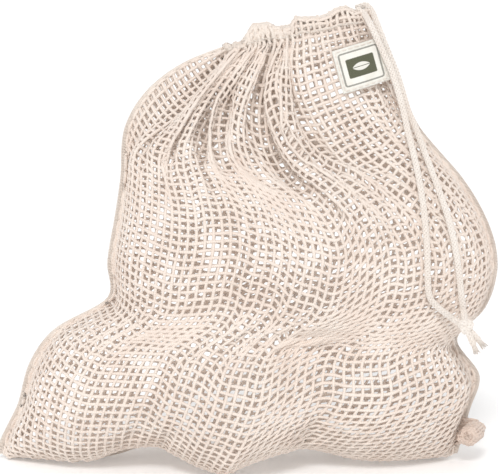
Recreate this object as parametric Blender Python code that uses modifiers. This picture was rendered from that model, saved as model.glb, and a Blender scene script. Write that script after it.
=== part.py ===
"""A mesh produce bag: a flat cotton net bag that stands filled, its top hem gathered on a drawcord.

Metres, +Z up. X runs across the bag's width and -Y is the front, which carries the label.
The origin is on the floor under the middle of the bag. The soft pieces are plain closed shells with
the bag's true outer form, its produce hollow and its mouth; the net, hem and cord are lofted from the
same few sections, so that every piece follows the one surface.
"""

import math

import bpy
import numpy as np
from mathutils import Vector

MM = 0.001
FRONT = -1
BACK = 1

# Cloth and cord sizes
NET_THICKNESS = 1.6 * MM
SEAM_RADIUS = 1.5 * MM
SEAM_REST = SEAM_RADIUS * math.cos(math.pi / 6)  # its six-sided section rests on one flat
PANEL_EDGE = 2.2 * MM  # half the slit between the two panels, which the seams close
NEIGHBOUR_GAP = 0.4 * MM
CORD_RADIUS = 1.6 * MM
HIDDEN_CORD_RADIUS = 1.4 * MM  # squeezed a little inside the channel
THREAD_RADIUS = 0.4 * MM

# The standing bag, as sections from the bottom seam to the gathered mouth, in millimetres:
# left edge x and z, right edge x and z, depth of the front, depth of the back.
SECTIONS = (
    (-146, 0, 123, 0, 0, 0),  # bottom seam
    (-149, 0, 126, 0, 6, 10),  # where the net leaves the floor
    (-150, 10, 129, 10, 23, 27),
    (-137, 35, 135, 34, 42, 42),  # widest part of the lower fruit
    (-131, 59, 141, 54, 44, 44),
    (-113, 84, 123, 75.5, 40, 43),  # nip between the two layers of fruit
    (-80, 100, 141.5, 92, 44, 46),
    (-82, 121, 150, 120, 46, 50),  # upper layer
    (-77, 149, 143.5, 148, 44, 48),
    (-72.5, 178, 126, 177, 38, 42),
    (-71, 204, 101, 205, 30, 33),  # empty net starts
    (-57, 228, 88, 234, 23, 24),
    (-32, 246.5, 80.5, 254, 17, 18),
    (-8, 254.5, 73, 269.5, 14, 14),  # lower edge of the hem
)
FULLNESS = 0.6  # below 1 makes a section rounder at its ends than an ellipse

# Rounds that the packed produce leaves in the net, in millimetres: x, z, radius, push outward.
ROUNDS = {
    FRONT: (
        (-100, 48, 44, 20),
        (-10, 52, 48, 32),
        (-8, 4, 34, 18),
        (87, 50, 48, 18),
        (-44, 130, 46, 18),
        (43, 152, 44, 22),
        (113, 126, 42, 11),
    ),
    BACK: (
        (-60, 48, 46, 20),
        (40, 50, 46, 22),
        (-20, 128, 46, 14),
        (75, 128, 46, 16),
        (25, 186, 40, 12),
    ),
}
ROUND_SHARPNESS = 1.6
UNDERSIDE_STRETCH = 0.6  # below its middle a round fades more slowly, down to the floor

# Where the loft is split, in section numbers: the belly stands still, the neck tilts over the shoulder.
BELLY_ROWS = (0, 8)
SHOULDER_ROWS = (8, 11)
NECK_ROWS = (11, 13)
ROW_GAP = 0.012  # in sections, keeps split pieces apart
STEPS_ACROSS = 20
STEPS_PER_SECTION = 2

# The hem: a flat sleeve along each lip of the mouth, from its left end to its right end
HEM_LEFT = Vector((-4 * MM, 0, 263 * MM))
HEM_RIGHT = Vector((66.5 * MM, 0, 277 * MM))
HEM_HALF_HEIGHT = 7 * MM
HEM_HALF_DEPTH = 2.8 * MM
HEM_WALL = 0.8 * MM
LIP_EDGE = HEM_HALF_DEPTH + 0.6 * MM
LIP_REACH = 11 * MM
HEM_STATIONS = 12
HEM_RING = 12
STITCH_DROP = 4.6 * MM  # the thread line's depth under the hem's middle

# The two hanging strands of the cord, in millimetres: x and z, from the hem's right end to the knot
FRONT_STRAND = (
    (69, 275),
    (72, 270.5),
    (74.6, 265),
    (77.6, 258.5),
    (82, 249),
    (86.6, 238.5),
    (90, 227),
    (92.8, 217),
    (95.3, 205),
    (99.5, 188),
    (102.7, 170),
    (104.5, 152),
    (105.3, 134),
    (105.9, 117),
    (109.5, 108.5),
    (122.5, 97.3),
)
BACK_STRAND = (
    (69.5, 279.5),
    (73, 277.6),
    (75.6, 273),
    (77.4, 268),
    (80, 261.5),
    (84.4, 250.5),
    (89, 239.5),
    (92.6, 228),
    (95.8, 217.5),
    (100, 208),
    (104.6, 195),
    (111.8, 176),
    (118.3, 157),
    (122.9, 136),
    (125.8, 114),
    (127.7, 102),
)
STRAND_TURN = {FRONT: 3, BACK: 6}  # half places over which a strand comes round to the front
STRAND_LAYER = 3.6 * MM  # the front strand lies over the back one
STRANDS_PART = (205 * MM, 217 * MM)  # heights between which they come to lie side by side
KNOT_X = 128.2 * MM
KNOT_Z = 95.3 * MM
KNOT_RADIUS = 4.8 * MM
TAIL_RADIUS = 1.5 * MM
TAIL_LENGTH = 11.5 * MM
TAIL_ROOM = 20 * MM  # the tails swing over this much of the net
TAIL_ANGLES = {FRONT: -70, BACK: -48}  # degrees from +X
TAIL_SPACING = 2.1 * MM  # half the distance between the two tails' planes

# The label
LABEL_X = 67.5 * MM
LABEL_Z = 244.5 * MM
LABEL_WIDTH = 29 * MM
LABEL_HEIGHT = 25.5 * MM
LABEL_TURN = math.radians(15.5)
LABEL_THICKNESS = 0.6 * MM
LABEL_GAP = 1.0 * MM
LABEL_HEM = 1.8 * MM
LABEL_STEPS = 8

# The curled corner
ROLL_X = 140.3 * MM
ROLL_Y = -10.5 * MM  # in front of the seam
ROLL_Z = 20 * MM
ROLL_OUTER = 7.8 * MM
ROLL_PITCH = 3.2 * MM
ROLL_TURNS = 1.6
ROLL_LENGTH = 16 * MM
ROLL_STEPS = 24

# Where the moving groups turn
NECK_AXIS = Vector((22 * MM, 0, 190 * MM))
CORD_AXIS = Vector((69 * MM, -4 * MM, 278 * MM))
NECK_PIECES = (("front", "net"), ("back", "net"), ("left", "seam"), ("right", "seam"))

COLOURS = {
    "net_cotton": (0.84, 0.76, 0.64),
    "seam_thread": (0.80, 0.72, 0.60),
    "hem_cotton": (0.84, 0.77, 0.66),
    "cord_cotton": (0.86, 0.80, 0.70),
    "label_cloth": (0.90, 0.88, 0.82),
    "stitch_thread": (0.78, 0.70, 0.58),
}


def clear_scene():
    for thing in list(bpy.data.objects):
        bpy.data.objects.remove(thing, do_unlink=True)


def parts_collection():
    found = bpy.data.collections.new("mesh_produce_bag")
    bpy.context.scene.collection.children.link(found)
    return found


def cloth_material(name):
    """One Principled material per kind of cloth, matte and not metallic."""
    if name in bpy.data.materials:
        return bpy.data.materials[name]
    made = bpy.data.materials.new(name)
    made.use_nodes = True
    shader = made.node_tree.nodes["Principled BSDF"]
    shader.inputs["Base Color"].default_value = (*COLOURS[name], 1)
    shader.inputs["Roughness"].default_value = 0.9
    shader.inputs["Metallic"].default_value = 0
    return made


def add_object(name, data, material, collection):
    data.materials.append(cloth_material(material))
    made = bpy.data.objects.new(name, data)
    collection.objects.link(made)
    return made


def add_axis(name, place, parent, collection):
    """An empty on a joint's axis, which the pieces that move with the joint hang from."""
    made = bpy.data.objects.new(name, None)
    collection.objects.link(made)
    made.location = place
    if parent is not None:
        made.parent = parent
        made.location = place - parent.matrix_world.translation
    bpy.context.view_layer.update()
    return made


def hang(axis, names):
    for name in names:
        piece = bpy.data.objects[name]
        piece.parent = axis
        piece.matrix_parent_inverse = axis.matrix_world.inverted()


def grid_faces(rows, columns, flip=False, closed=False):
    """Quads of a grid of points stored row by row; closed joins the last column to the first."""
    faces = []
    for row in range(rows - 1):
        for column in range(columns if closed else columns - 1):
            following = (column + 1) % columns
            quad = (
                row * columns + column,
                row * columns + following,
                (row + 1) * columns + following,
                (row + 1) * columns + column,
            )
            faces.append(quad[::-1] if flip else quad)
    return faces


def add_shell(name, points, faces, thickness, material, collection, outward=False):
    """An open surface made solid: inward from its outer face, or outward from its inner face."""
    data = bpy.data.meshes.new(name)
    data.from_pydata([tuple(point) for point in points], [], faces)
    data.shade_smooth()
    made = add_object(name, data, material, collection)
    solid = made.modifiers.new("thickness", "SOLIDIFY")
    solid.thickness = thickness
    solid.offset = 1 if outward else -1
    return made


def add_tube(name, points, radius, material, collection, closed=False, resolution=1):
    """A cord, thread or rolled seam: a polyline with a round section and filled ends."""
    data = bpy.data.curves.new(name, "CURVE")
    data.dimensions = "3D"
    data.bevel_depth = radius
    data.bevel_resolution = resolution
    data.use_fill_caps = True
    line = data.splines.new("POLY")
    line.points.add(len(points) - 1)
    for place, point in zip(line.points, points):
        place.co = (*point, 1)
    line.use_cyclic_u = closed
    line.use_smooth = True
    return add_object(name, data, material, collection)


def catmull_rom(points, place):
    """A point on the smooth line through the given points, at a real-valued point number."""
    last = len(points) - 1
    place = min(max(place, 0.0), float(last))
    low = min(int(place), last - 1)
    t = place - low
    before = points[max(low - 1, 0)]
    here = points[low]
    there = points[low + 1]
    after = points[min(low + 2, last)]
    linear = there - before
    square = 2 * before - 5 * here + 4 * there - after
    cube = 3 * here - before - 3 * there + after
    return here + 0.5 * t * (linear + t * (square + t * cube))


SECTION_ARRAY = np.array(SECTIONS, float) * MM


def panel_point(side, row, across):
    """A point of the bag's outer surface: row counts sections up, across runs 0 to 1 left to right."""
    left_x, left_z, right_x, right_z, front, back = catmull_rom(SECTION_ARRAY, row)
    swell = math.sin(math.pi * min(max(across, 0.0), 1.0))
    share = 0.5 - 0.5 * math.cos(math.pi * across)
    x = left_x + (right_x - left_x) * share
    z = max(left_z + (right_z - left_z) * share, 0.0)
    reach = max(front if side == FRONT else back, 0.0) * max(swell, 0.0) ** FULLNESS
    off_floor = min(row, 1.0)
    for round_x, round_z, radius, push in ROUNDS[side]:
        drop = z - round_z * MM
        drop *= UNDERSIDE_STRETCH if drop < 0 else 1
        distance = math.hypot(x - round_x * MM, drop) / (radius * MM)
        fade = math.exp(-ROUND_SHARPNESS * distance * distance) * math.sqrt(max(swell, 0.0))
        reach += off_floor * push * MM * fade
    return Vector((x, side * (PANEL_EDGE + reach), z))


def front_samples():
    rows = np.arange(0, len(SECTIONS) - 1 + 1e-6, 0.1)
    places = np.linspace(0, 1, 81)
    return np.array([panel_point(FRONT, row, place) for row in rows for place in places])


FRONT_SAMPLES = front_samples()


def front_of_net(x, z, around):
    """How far forward the front net reaches within a distance of a point, as a y value."""
    distance = np.hypot(FRONT_SAMPLES[:, 0] - x, FRONT_SAMPLES[:, 2] - z)
    near = FRONT_SAMPLES[distance < around]
    return float(near[:, 1].min()) if len(near) else -PANEL_EDGE


def net_piece(name, side, rows, collection):
    """The part of one panel between two sections."""
    steps = (rows[1] - rows[0]) * STEPS_PER_SECTION
    low = rows[0] + (ROW_GAP if rows[0] > 0 else 0)
    high = rows[1] - ROW_GAP
    points = []
    for step in range(steps + 1):
        row = low + (high - low) * step / steps
        for column in range(STEPS_ACROSS + 1):
            points.append(panel_point(side, row, column / STEPS_ACROSS))
    faces = grid_faces(steps + 1, STEPS_ACROSS + 1, flip=side == BACK)
    add_shell(name, points, faces, NET_THICKNESS, "net_cotton", collection)


def side_seam(name, end, rows, collection):
    """The overlocked edge beside the panels; end is 0 at the left of the bag and 1 at its right."""
    steps = (rows[1] - rows[0]) * STEPS_PER_SECTION
    outward = (1 if end else -1) * (SEAM_RADIUS + NEIGHBOUR_GAP)
    low = rows[0] + (ROW_GAP if rows[0] > 1 else 0)
    high = rows[1] - ROW_GAP
    points = []
    for step in range(steps + 1):
        edge = panel_point(FRONT, low + (high - low) * step / steps, end)
        points.append((edge.x + outward, 0, max(edge.z, SEAM_RADIUS)))
    add_tube(name, points, SEAM_RADIUS, "seam_thread", collection)


def bottom_seam(collection):
    """The overlocked edge under the bag, lying on the floor between the two panels."""
    left = panel_point(FRONT, 0, 0).x
    right = panel_point(FRONT, 0, 1).x
    points = []
    for step in range(STEPS_ACROSS + 1):
        points.append((left + (right - left) * step / STEPS_ACROSS, 0, SEAM_REST))
    add_tube("bottom_seam", points, SEAM_RADIUS, "seam_thread", collection)


def rolled_corner(collection):
    """The bottom right corner of the net, curled up on itself into a short roll beside the seam."""
    points = []
    for end in (-0.5, 0.5):
        for step in range(ROLL_STEPS + 1):
            share = step / ROLL_STEPS
            angle = 2 * math.pi * ROLL_TURNS * share
            radius = ROLL_OUTER - ROLL_PITCH * ROLL_TURNS * share * 0.75
            lean = end * 5 * MM
            x = ROLL_X + radius * math.cos(angle) + lean
            z = ROLL_Z + radius * math.sin(angle)
            points.append((x, ROLL_Y + end * ROLL_LENGTH, z))
    faces = grid_faces(2, ROLL_STEPS + 1, flip=True)
    add_shell("rolled_corner", points, faces, NET_THICKNESS * 0.75, "net_cotton", collection)


def lip_centre(side, share, drop=0.0, forward=0.0):
    """A point along a lip of the mouth, moved down by drop and away from the mouth by forward."""
    along = HEM_RIGHT - HEM_LEFT
    up = Vector((-along.z, 0, along.x)).normalized()
    reach = LIP_EDGE + LIP_REACH * math.sin(math.pi * share) ** 0.8 + forward
    return HEM_LEFT + along * share - up * drop + Vector((0, side * reach, 0))


def hem(name, side, collection):
    """One lip's channel: a flat sleeve, open at both ends."""
    points = []
    for station in range(HEM_STATIONS + 1):
        share = station / HEM_STATIONS
        centre = lip_centre(side, share)
        up = (lip_centre(side, share, drop=-MM) - centre).normalized()
        for corner in range(HEM_RING):
            angle = 2 * math.pi * corner / HEM_RING
            rise = math.copysign(abs(math.cos(angle)) ** 0.6, math.cos(angle))
            bulge = math.copysign(abs(math.sin(angle)) ** 0.8, math.sin(angle))
            points.append(centre + up * rise * HEM_HALF_HEIGHT + Vector((0, bulge * HEM_HALF_DEPTH, 0)))
    faces = grid_faces(HEM_STATIONS + 1, HEM_RING, closed=True, flip=True)
    add_shell(name, points, faces, HEM_WALL, "hem_cotton", collection)


def hem_stitching(name, side, collection):
    """The thread line that closes the channel, along the hem's outer face."""
    forward = HEM_HALF_DEPTH + THREAD_RADIUS + NEIGHBOUR_GAP
    points = []
    for station in range(HEM_STATIONS + 1):
        points.append(lip_centre(side, station / HEM_STATIONS, STITCH_DROP, forward))
    add_tube(name, points, THREAD_RADIUS, "stitch_thread", collection)


def cord_run(name, side, collection):
    """The cord inside one lip's channel. At the left end it passes from one lip to the other."""
    points = []
    for station in range(HEM_STATIONS + 1):
        points.append(lip_centre(side, station / HEM_STATIONS))
    add_tube(name, points, HIDDEN_CORD_RADIUS, "cord_cotton", collection)


def strand(name, side, places, collection):
    """A hanging strand of the cord, laid over the front of the net."""
    array = np.array(places, float) * MM
    start_y = lip_centre(side, 1).y
    steps = (len(places) - 1) * 2
    clearance = CORD_RADIUS + 0.5 * MM
    points = []
    for step in range(steps + 1):
        x, z = catmull_rom(array, step / 2)
        laid = front_of_net(x, z, 4 * MM) - clearance
        if side == FRONT:
            laid -= STRAND_LAYER * float(np.interp(z, STRANDS_PART, (0, 1)))
        share = min(step / STRAND_TURN[side], 1.0)
        points.append(Vector((x, start_y * (1 - share) + laid * share, z)))
    smooth = list(points)
    for _ in range(2):
        for place in range(1, len(smooth) - 1):
            mean = (smooth[place - 1].y + smooth[place + 1].y) / 2
            smooth[place] = Vector((points[place].x, min(smooth[place].y, mean), points[place].z))
    add_tube(name, smooth, CORD_RADIUS, "cord_cotton", collection)


def knot_centre():
    lowest = front_of_net(KNOT_X, KNOT_Z, TAIL_ROOM)
    return Vector((KNOT_X, lowest - TAIL_SPACING - TAIL_RADIUS - 0.6 * MM, KNOT_Z))


def cord_knot(collection):
    """The overhand knot that joins the two strands."""
    bpy.ops.mesh.primitive_uv_sphere_add(segments=14, ring_count=8, radius=KNOT_RADIUS)
    made = bpy.context.active_object
    made.name = "cord_knot"
    made.data.name = "cord_knot"
    for corner in made.data.vertices:
        corner.co.y *= 0.8
    made.location = knot_centre()
    made.data.shade_smooth()
    made.data.materials.append(cloth_material("cord_cotton"))
    for holder in list(made.users_collection):
        holder.objects.unlink(made)
    collection.objects.link(made)


def cord_tail(name, side, collection):
    """A free end of the cord. Its origin is the knot's centre, which it swings about."""
    angle = math.radians(TAIL_ANGLES[side])
    heading = Vector((math.cos(angle), 0, math.sin(angle)))
    offset = Vector((0, side * TAIL_SPACING, 0))
    start = KNOT_RADIUS + NEIGHBOUR_GAP
    points = [offset + heading * (start + TAIL_LENGTH * step / 4) for step in range(5)]
    add_tube(name, points, TAIL_RADIUS, "cord_cotton", collection).location = knot_centre()


def label_point(right, up, forward):
    """A point of the label in its own turned axes, laid over the net."""
    x = LABEL_X + right * math.cos(LABEL_TURN) - up * math.sin(LABEL_TURN)
    z = LABEL_Z + right * math.sin(LABEL_TURN) + up * math.cos(LABEL_TURN)
    return Vector((x, front_of_net(x, z, 4 * MM) - LABEL_GAP - forward, z))


def label(collection):
    points = []
    for row in range(LABEL_STEPS + 1):
        up = LABEL_HEIGHT * (row / LABEL_STEPS - 0.5)
        for column in range(LABEL_STEPS + 1):
            points.append(label_point(LABEL_WIDTH * (column / LABEL_STEPS - 0.5), up, 0))
    faces = grid_faces(LABEL_STEPS + 1, LABEL_STEPS + 1)
    add_shell("label", points, faces, LABEL_THICKNESS, "label_cloth", collection, outward=True)


def label_stitching(collection):
    """One thread line round the label, inside its edge."""
    half_width = LABEL_WIDTH / 2 - LABEL_HEM
    half_height = LABEL_HEIGHT / 2 - LABEL_HEM
    corners = ((-1, -1), (1, -1), (1, 1), (-1, 1))
    forward = LABEL_THICKNESS + THREAD_RADIUS + NEIGHBOUR_GAP
    points = []
    for number, corner in enumerate(corners):
        following = corners[(number + 1) % 4]
        for step in range(LABEL_STEPS):
            share = step / LABEL_STEPS
            right = half_width * (corner[0] * (1 - share) + following[0] * share)
            up = half_height * (corner[1] * (1 - share) + following[1] * share)
            points.append(label_point(right, up, forward))
    add_tube("label_stitching", points, THREAD_RADIUS, "stitch_thread", collection, closed=True)


def hang_moving_pieces(collection):
    """The neck tilts on the body; the lips slide and the cord swings on the neck; the knot is drawn up."""
    neck = add_axis("neck_tilt_axis", NECK_AXIS, None, collection)
    hang(neck, [f"{word}_neck_{kind}" for word, kind in NECK_PIECES])
    for word in ("front", "back"):
        lip = add_axis(f"mouth_{word}_axis", (HEM_LEFT + HEM_RIGHT) / 2, neck, collection)
        hang(lip, [f"{word}_casing", f"{word}_casing_stitching", f"{word}_cord_run"])
        if word == "front":
            hang(lip, ["label", "label_stitching"])
    cord = add_axis("cord_swing_axis", CORD_AXIS, neck, collection)
    hang(cord, ["front_cord_strand", "back_cord_strand"])
    knot = add_axis("knot_axis", knot_centre(), cord, collection)
    hang(knot, ["cord_knot", "front_cord_tail", "back_cord_tail"])


def build():
    clear_scene()
    collection = parts_collection()
    for side, word in ((FRONT, "front"), (BACK, "back")):
        net_piece(f"{word}_net_panel", side, BELLY_ROWS, collection)
        net_piece(f"{word}_shoulder_net", side, SHOULDER_ROWS, collection)
        net_piece(f"{word}_neck_net", side, NECK_ROWS, collection)
        hem(f"{word}_casing", side, collection)
        hem_stitching(f"{word}_casing_stitching", side, collection)
        cord_run(f"{word}_cord_run", side, collection)
        cord_tail(f"{word}_cord_tail", side, collection)
    for end, word in ((0, "left"), (1, "right")):
        side_seam(f"{word}_side_seam", end, (1, BELLY_ROWS[1]), collection)
        side_seam(f"{word}_shoulder_seam", end, SHOULDER_ROWS, collection)
        side_seam(f"{word}_neck_seam", end, NECK_ROWS, collection)
    bottom_seam(collection)
    rolled_corner(collection)
    strand("front_cord_strand", FRONT, FRONT_STRAND, collection)
    strand("back_cord_strand", BACK, BACK_STRAND, collection)
    cord_knot(collection)
    label(collection)
    label_stitching(collection)
    hang_moving_pieces(collection)


build()
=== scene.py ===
"""Looks of the mesh produce bag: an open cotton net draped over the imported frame, with its cord and label.

The frame's shells are the mould. The script slices them, lays a grid of yarn crossings over the slices,
relaxes the grid as cloth, and builds every yarn of the net as geometry on it. The seams, the cord, its
knot and the label are built on the lines of their own frame nodes.
"""

import math

import bpy
import numpy as np
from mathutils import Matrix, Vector
from mathutils.bvhtree import BVHTree


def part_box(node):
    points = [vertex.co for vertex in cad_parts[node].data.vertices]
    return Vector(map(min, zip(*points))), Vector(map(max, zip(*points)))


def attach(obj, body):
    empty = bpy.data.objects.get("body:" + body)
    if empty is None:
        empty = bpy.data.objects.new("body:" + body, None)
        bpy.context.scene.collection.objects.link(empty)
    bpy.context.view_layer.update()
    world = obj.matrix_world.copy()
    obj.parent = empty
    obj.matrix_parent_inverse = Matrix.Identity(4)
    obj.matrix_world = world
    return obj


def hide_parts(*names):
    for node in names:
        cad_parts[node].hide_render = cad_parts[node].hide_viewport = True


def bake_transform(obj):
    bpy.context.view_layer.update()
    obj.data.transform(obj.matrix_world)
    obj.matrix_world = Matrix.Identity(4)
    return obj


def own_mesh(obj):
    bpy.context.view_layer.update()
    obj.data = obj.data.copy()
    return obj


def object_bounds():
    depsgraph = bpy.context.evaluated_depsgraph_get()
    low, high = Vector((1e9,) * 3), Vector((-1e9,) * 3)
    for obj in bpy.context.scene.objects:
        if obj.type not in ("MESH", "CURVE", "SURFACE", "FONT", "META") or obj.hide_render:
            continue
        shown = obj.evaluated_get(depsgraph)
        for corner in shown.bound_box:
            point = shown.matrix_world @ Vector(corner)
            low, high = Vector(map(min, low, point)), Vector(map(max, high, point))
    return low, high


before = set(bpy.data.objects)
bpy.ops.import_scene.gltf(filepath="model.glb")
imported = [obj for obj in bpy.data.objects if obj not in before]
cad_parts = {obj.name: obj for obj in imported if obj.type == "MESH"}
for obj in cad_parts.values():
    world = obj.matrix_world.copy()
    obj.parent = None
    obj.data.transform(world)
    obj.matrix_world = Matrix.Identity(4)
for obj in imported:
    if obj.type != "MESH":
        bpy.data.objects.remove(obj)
cad_low, cad_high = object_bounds()

MM = 0.001
FRONT = -1
BACK = 1
SIDES = ((FRONT, "front"), (BACK, "back"))
LEFT = -1
RIGHT = 1
ENDS = ((LEFT, "left"), (RIGHT, "right"))
FORWARD = np.array((0.0, -1.0, 0.0))
random = np.random.default_rng(7)

# The net
CELL = 5.3 * MM
COLUMNS = 61
YARN_HALF_WIDTH = 0.95 * MM
YARN_HALF_DEPTH = 0.62 * MM
WEAVE_LIFT = 0.36 * MM  # how far a yarn passes over or under its neighbour
KNOT_SWELL = 0.16  # share by which a yarn widens where it is caught by another
YARN_UNEVENNESS = 0.07
YARN_SIDES = 6
SAMPLES_PER_CELL = 2
HOLLOW_DEPTH = 2.8  # how much deeper than the frame's shell the net sinks between the rounds
HOLLOW_WIDTH = 5.0  # in slices and columns
HOLLOW_FADE = 10 * MM
LIFT_SHARE = 0.55  # height of the net over the floor between the rounds, per depth of the hollow there
LIFT_MOST = 9 * MM
LIFT_FADE = 16 * MM  # height over which the lift runs out
LOW_ROUNDS = (15 * MM, 45 * MM)  # heights between which the lowest rounds are widest
LOW_SLICES = 5
LIFT_REACH = COLUMNS // 6  # how far the nearest round is looked for
LIFT_BLUR = 5  # in columns
EDGE_COLUMNS = 8  # columns at each side that don't count for the usual length

ROW_SAG = 1.2  # how much lower rows hang in the middle, per spare length at the sides
LEAN = ((0, -15), (140, 15), (205, 0))  # height against the columns' shift sideways, in millimetres

# Lines read from the frame, and slices of the mould
SEAM_POINTS = 110
BOTTOM_POINTS = 60
HEM_POINTS = 40
STRAND_POINTS = 90
SLICE_SPACING = 2.5 * MM
SLICE_POINTS = 121
UNDERSIDE_SLICES = 8
FAR = 0.5  # rays start this far out, in metres

# How the net is gathered on the cord: share of its columns against share of the hem's length
GATHER = ((0.0, 0.0), (0.1, 0.1), (0.76, 0.47), (1.0, 1.0))
PLEAT_COLUMNS = 3.4  # columns of net in one pleat at the hem
PLEAT_DEPTH = 3.6 * MM
CRUMPLED = 0.6  # share of the spare net at the hem that is crumpled within its own plane
FOLD_COLUMNS = 17.0  # and in one of the wide folds under them
FOLD_PACE = (0.6, 1.5)  # how much faster or slower than even the folds follow each other
FOLD_HEIGHT = (0.5, 1.15)
PLEAT_FADE = 5.0  # rows over which the pleats run out into folds
SHOULDER_SLACK = 1.1  # spare length of the net between the fruit and the hem
LOOSE_STEPS = 160
CLOTH_PASSES = 8
GRAVITY_STEP = 0.05 * MM
PUSH = 0.8  # share of its stiffness that a yarn keeps against being pressed together
BEND_UP = 0.1
BEND_ACROSS = 0.05
FOLD_WANDER = 0.9  # in columns
FOLD_TURNING = 0.3  # in radians per row
FOLD_DEPTH = 0.42
PLEAT_PHASE = 0.7
FOLD_PHASE = 2.1
LOOSE_FROM = 0.06  # spare width of the net at which it starts to fold
LOOSE_OVER = 0.3  # and how much more of it makes it wholly loose
NET_CRUMPLE = 0.4 * MM
MOULD_PULL = 0.5

# The hem: height of its upper edge over its lower edge, along its length, in millimetres
HEM_PROFILE = (
    (0.0, 2), (0.06, 10), (0.1, 12.5), (0.24, 12), (0.3, 8.5), (0.43, 7.5),
    (0.46, 13), (0.55, 11.5), (0.72, 10), (0.84, 13), (0.92, 13), (1.0, 9),
)
HEM_ROWS = 3
HEM_FOLD_DEPTH = 4.5 * MM
HEM_FOLD_MOST = 0.45  # of the way to the middle of the bag
HEM_CRUMPLE = 0.35 * MM
HEM_DROP = 0.06  # shares of the hem's height, here and below
HEM_CREST = 1.02
HEM_INSIDE = 0.94
HEM_EVENING = 6  # how far the pleats are evened out over the cord

# Round pieces
SEAM_CORE = 0.55 * MM
SEAM_THREAD = 0.32 * MM
SEAM_STITCH = 1.9 * MM
SEAM_ROUNDING = 5
SEAM_SAMPLES = 8  # points per turn of its threads
CORD_HALF_WIDTH = 1.9 * MM
CORD_HALF_DEPTH = 1.35 * MM
BRAID_YARNS = 8
BRAID_PITCH = 9 * MM
BRAID_SAMPLES = 16  # points per turn
BRAID_YARN = 0.34  # thickness of one yarn, as a share of the cord's
BRAID_CORE = 0.95
BRAID_LIFT = 0.12
STITCH_LENGTH = 3.0 * MM
STITCH_GAP = 0.9 * MM
STITCH_RADIUS = 0.28 * MM
STITCH_ARCH = (-1.2, 0.4, 0.8, 0.8, 0.4, -1.2)  # height over the cloth, in thread radii
LABEL_STEPS = 24
LABEL_RIPPLE = 0.35 * MM
LABEL_WITHIN = 0.985  # rays aim this share of the way out, so that none misses the edge


# ---------------- lines and surfaces read from the frame


def node_arrays(name):
    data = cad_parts[name].data
    points = np.empty(len(data.vertices) * 3)
    data.vertices.foreach_get("co", points)
    edges = np.empty(len(data.edges) * 2, dtype=int)
    data.edges.foreach_get("vertices", edges)
    return points.reshape(-1, 3), edges.reshape(-1, 2)


def centre_line(names, axis, count):
    """The middle of one or more long nodes, cut across a world axis at even steps."""
    arrays = [node_arrays(name) for name in names]
    low = min(points[:, axis].min() for points, _ in arrays)
    high = max(points[:, axis].max() for points, _ in arrays)
    centres = []
    for level in np.linspace(low, high, count + 2)[1:-1]:
        cuts = []
        for points, edges in arrays:
            first, second = points[edges[:, 0]], points[edges[:, 1]]
            crossing = (first[:, axis] - level) * (second[:, axis] - level) < 0
            first, second = first[crossing], second[crossing]
            share = (level - first[:, axis]) / (second[:, axis] - first[:, axis])
            cuts.append(first + (second - first) * share[:, None])
        cut = np.concatenate(cuts)
        if len(cut):
            centres.append((cut.min(axis=0) + cut.max(axis=0)) / 2)
    return np.array(centres)


def smoothed(line, passes):
    """A line with its corners rounded off."""
    line = line.copy()
    for _ in range(passes):
        line[1:-1] = (line[:-2] + 2 * line[1:-1] + line[2:]) / 4
    return line


def node_tree(names):
    """One search tree over several nodes."""
    points, faces = [], []
    for name in names:
        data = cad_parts[name].data
        first = len(points)
        points.extend(corner.co.copy() for corner in data.vertices)
        faces.extend([first + number for number in face.vertices] for face in data.polygons)
    return BVHTree.FromPolygons(points, faces)


def panel_nodes(word):
    return [f"{word}_net_panel", f"{word}_shoulder_net", f"{word}_neck_net"]


def seam_nodes(word):
    return [f"{word}_side_seam", f"{word}_shoulder_seam", f"{word}_neck_seam"]


PANEL_TREES = {side: node_tree(panel_nodes(word)) for side, word in SIDES}
SEAM_LINES = {
    end: smoothed(centre_line(seam_nodes(word), 2, SEAM_POINTS), SEAM_ROUNDING)
    for end, word in ENDS
}
BOTTOM_LINE = centre_line(["bottom_seam"], 0, BOTTOM_POINTS)
HEM_LINES = {side: centre_line([f"{word}_cord_run"], 0, HEM_POINTS) for side, word in SIDES}
SEAM_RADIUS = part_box("bottom_seam")[1].y
PANEL_EDGE = SEAM_RADIUS + 0.4 * MM

BELLY_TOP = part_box("front_net_panel")[1].z
NECK_LOW = {end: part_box(f"{word}_neck_seam")[0].z for end, word in ENDS}
NECK_HIGH = {end: SEAM_LINES[end][-1][2] for end in (LEFT, RIGHT)}
HEM_ENDS = {LEFT: HEM_LINES[FRONT][0] * (1, 0, 1), RIGHT: HEM_LINES[FRONT][-1] * (1, 0, 1)}
HEM_ALONG = HEM_ENDS[RIGHT] - HEM_ENDS[LEFT]
HEM_UP = np.array((-HEM_ALONG[2], 0, HEM_ALONG[0])) / np.linalg.norm(HEM_ALONG)


def edge_x(end, height):
    """Where the panels' edge stands beside the seam at a height."""
    line = SEAM_LINES[end]
    return float(np.interp(height, line[:, 2], line[:, 0])) - end * PANEL_EDGE


def neck_line(xs):
    """Height of the boundary between shoulder and neck."""
    low_left = SEAM_LINES[LEFT][np.searchsorted(SEAM_LINES[LEFT][:, 2], NECK_LOW[LEFT])]
    low_right = SEAM_LINES[RIGHT][np.searchsorted(SEAM_LINES[RIGHT][:, 2], NECK_LOW[RIGHT])]
    share = (xs - low_left[0]) / (low_right[0] - low_left[0])
    return low_left[2] + share * (low_right[2] - low_left[2])


def hem_height(points):
    """How far points stand above the hem's middle line, square to it."""
    return (points - HEM_ENDS[LEFT]) @ HEM_UP


# ---------------- the mould


def fill_gaps(values):
    """Replaces missing numbers by those between their neighbours."""
    values = np.array(values, float)
    known = ~np.isnan(values)
    places = np.arange(len(values))
    return np.interp(places, places[known], values[known])


def at_shares(line, shares):
    """The points at the given shares of a line's length."""
    steps = np.linalg.norm(np.diff(line, axis=0), axis=1)
    length = np.concatenate([[0], np.cumsum(steps)])
    return np.stack([np.interp(shares * length[-1], length, line[:, axis]) for axis in range(3)], axis=1)


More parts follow.
